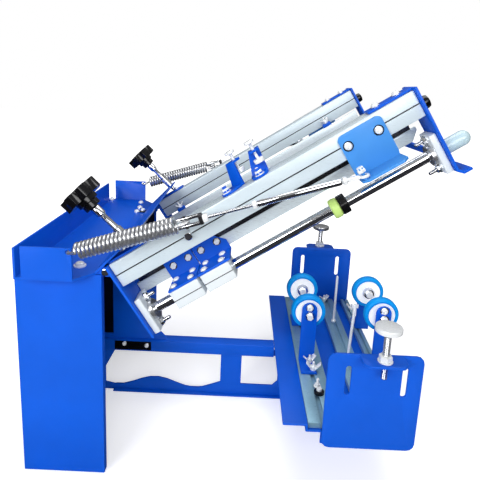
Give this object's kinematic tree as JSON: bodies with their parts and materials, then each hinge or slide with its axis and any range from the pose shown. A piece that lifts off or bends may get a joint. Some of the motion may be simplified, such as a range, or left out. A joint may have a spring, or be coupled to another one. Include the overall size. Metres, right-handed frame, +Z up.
{
  "type": "cylindrical screen printing machine",
  "caption": "Bench screen printing machine for bottles: tilting spring-held arm with sliding screen carriages over a roller cradle on a post and beam base.",
  "frame": {"origin": "on the bench under the middle of the spine's foot, in the machine's middle plane", "axes": "+X from the column to the platform, +Y from the operator's side to the far side, +Z up"},
  "size_m": [0.5011, 0.41, 0.4862],
  "materials": {
    "blue_paint": "gloss powder coat",
    "light_blue_paint": "gloss powder coat",
    "aluminium": "satin extrusion",
    "grey_aluminium": "satin extrusion",
    "chrome": "polished",
    "spring_steel": "drawn wire",
    "black_plastic": "moulded",
    "azure_rubber": "smooth",
    "yellow_rubber": "smooth",
    "pale_grip": "smooth"
  },
  "bodies": {
    "base": {"column": "blue_paint", "spine_plate": "blue_paint", "hinge_tray": "blue_paint", "hinge_shaft": "chrome", "platform_plate": "blue_paint", "rail_left": "grey_aluminium", "rail_centre": "grey_aluminium", "rail_right": "grey_aluminium", "end_plate_near": "blue_paint", "end_plate_far": "blue_paint", "stop_rod_near": "chrome", "stop_rod_far": "chrome"},
    "arm": {"profile_near": "aluminium", "profile_far": "aluminium", "head_plate_near": "blue_paint", "head_plate_far": "blue_paint", "tail_plate_near": "blue_paint", "tail_plate_far": "blue_paint", "guide_rod_near": "chrome", "guide_rod_far": "chrome", "rod_support_head_near": "aluminium", "rod_support_head_far": "aluminium", "rod_support_tail_near": "aluminium", "rod_support_tail_far": "aluminium", "stop_ring_near": "yellow_rubber", "stop_ring_far": "yellow_rubber", "end_cap_near": "black_plastic", "end_cap_far": "black_plastic", "spring_bracket_near": "light_blue_paint", "spring_bracket_far": "light_blue_paint", "pull_handle": "pale_grip", "cross_strip": "blue_paint", "left_clamp": "blue_paint", "right_clamp": "blue_paint"},
    "carriage_near": {"bearing_block_left_near": "aluminium", "bearing_block_right_near": "aluminium", "carriage_angle_near": "blue_paint", "screen_bar_near": "grey_aluminium"},
    "carriage_far": {"bearing_block_left_far": "aluminium", "bearing_block_right_far": "aluminium", "carriage_angle_far": "blue_paint", "screen_bar_far": "grey_aluminium"},
    "spring_link_near": {"spring_coil_near": "spring_steel"},
    "tie_near": {"tie_rod_near": "chrome"},
    "spring_link_far": {"spring_coil_far": "spring_steel"},
    "tie_far": {"tie_rod_far": "chrome"},
    "stop_screw_near": {"star_knob_near": "black_plastic"},
    "stop_screw_far": {"star_knob_far": "black_plastic"},
    "height_screw_near": {"height_screw_near": "chrome"},
    "height_screw_far": {"height_screw_far": "chrome"},
    "left_thumb_screw": {"left_thumb_screw": "chrome"},
    "right_thumb_screw": {"right_thumb_screw": "chrome"},
    "bracket_left_near": {"wheel_bracket_left_near": "blue_paint"},
    "wheel_left_near": {"wheel_left_near": "azure_rubber"},
    "bracket_left_far": {"wheel_bracket_left_far": "blue_paint"},
    "wheel_left_far": {"wheel_left_far": "azure_rubber"},
    "bracket_right_near": {"wheel_bracket_right_near": "blue_paint"},
    "wheel_right_near": {"wheel_right_near": "azure_rubber"},
    "bracket_right_far": {"wheel_bracket_right_far": "blue_paint"},
    "wheel_right_far": {"wheel_right_far": "azure_rubber"}
  },
  "joints": [
    {"name": "arm_tilt", "type": "hinge", "parent": "base", "child": "arm", "pos_m": [-0.1518, 0, 0.2651], "axis": [0, 1, 0], "range_deg": [0, 30.5], "stiffness_Nm_per_rad": 8, "springref_deg": -68.75},
    {"name": "carriage_slide_near", "type": "slide", "parent": "arm", "child": "carriage_near", "axis": [0.8387, 0, 0.5446], "range_m": [-0.025, 0.12]},
    {"name": "carriage_slide_far", "type": "slide", "parent": "arm", "child": "carriage_far", "axis": [0.8387, 0, 0.5446], "range_m": [-0.025, 0.12]},
    {"name": "spring_swing_near", "type": "hinge", "parent": "base", "child": "spring_link_near", "pos_m": [-0.182, -0.19, 0.296], "axis": [0, 1, 0], "range_deg": [0, 28.5]},
    {"name": "spring_stretch_near", "type": "slide", "parent": "spring_link_near", "child": "tie_near", "axis": [0.9522, 0, 0.3054], "range_m": [0, 0.0185], "deforming": ["spring_coil_near"]},
    {"name": "spring_swing_far", "type": "hinge", "parent": "base", "child": "spring_link_far", "pos_m": [-0.182, 0.19, 0.296], "axis": [0, 1, 0], "range_deg": [0, 28.5]},
    {"name": "spring_stretch_far", "type": "slide", "parent": "spring_link_far", "child": "tie_far", "axis": [0.9522, 0, 0.3054], "range_m": [0, 0.0185], "deforming": ["spring_coil_far"]},
    {"name": "stop_screw_turn_near", "type": "hinge", "parent": "base", "child": "stop_screw_near", "pos_m": [-0.12155, -0.152, 0.29482], "axis": [-0.7254, 0, 0.6884], "continuous": true},
    {"name": "stop_screw_turn_far", "type": "hinge", "parent": "base", "child": "stop_screw_far", "pos_m": [-0.12155, 0.152, 0.29482], "axis": [-0.7254, 0, 0.6884], "continuous": true},
    {"name": "height_screw_turn_near", "type": "hinge", "parent": "base", "child": "height_screw_near", "pos_m": [0.167, -0.19, 0.189], "axis": [0, 0, 1], "continuous": true},
    {"name": "height_screw_turn_far", "type": "hinge", "parent": "base", "child": "height_screw_far", "pos_m": [0.1525, 0.19, 0.189], "axis": [0, 0, 1], "continuous": true},
    {"name": "left_thumb_screw_turn", "type": "hinge", "parent": "arm", "child": "left_thumb_screw", "pos_m": [-0.01155, -0.13837, 0.39707], "axis": [-0.5446, 0, 0.8387], "continuous": true},
    {"name": "right_thumb_screw_turn", "type": "hinge", "parent": "arm", "child": "right_thumb_screw", "pos_m": [0.00958, -0.149, 0.4108], "axis": [-0.5446, 0, 0.8387], "continuous": true},
    {"name": "bracket_slide_left_near", "type": "slide", "parent": "base", "child": "bracket_left_near", "axis": [0, 1, 0], "range_m": [-0.02, 0.02]},
    {"name": "wheel_turn_left_near", "type": "hinge", "parent": "bracket_left_near", "child": "wheel_left_near", "pos_m": [0.104, -0.029, 0.163], "axis": [0, 1, 0], "continuous": true},
    {"name": "bracket_slide_left_far", "type": "slide", "parent": "base", "child": "bracket_left_far", "axis": [0, 1, 0], "range_m": [-0.02, 0.02]},
    {"name": "wheel_turn_left_far", "type": "hinge", "parent": "bracket_left_far", "child": "wheel_left_far", "pos_m": [0.104, 0.048, 0.163], "axis": [0, 1, 0], "continuous": true},
    {"name": "bracket_slide_right_near", "type": "slide", "parent": "base", "child": "bracket_right_near", "axis": [0, 1, 0], "range_m": [-0.02, 0.02]},
    {"name": "wheel_turn_right_near", "type": "hinge", "parent": "bracket_right_near", "child": "wheel_right_near", "pos_m": [0.21, -0.029, 0.163], "axis": [0, 1, 0], "continuous": true},
    {"name": "bracket_slide_right_far", "type": "slide", "parent": "base", "child": "bracket_right_far", "axis": [0, 1, 0], "range_m": [-0.02, 0.02]},
    {"name": "wheel_turn_right_far", "type": "hinge", "parent": "bracket_right_far", "child": "wheel_right_far", "pos_m": [0.21, 0.048, 0.163], "axis": [0, 1, 0], "continuous": true}
  ],
  "couplings": [
    {"joint": "carriage_slide_far", "follows": "carriage_slide_near", "ratio": 1},
    {"joint": "spring_swing_near", "follows": "arm_tilt", "ratio": 0.919},
    {"joint": "spring_stretch_near", "follows": "arm_tilt", "m_per_rad": 0.03375},
    {"joint": "spring_swing_far", "follows": "arm_tilt", "ratio": 0.919},
    {"joint": "spring_stretch_far", "follows": "arm_tilt", "m_per_rad": 0.03375}
  ]
}
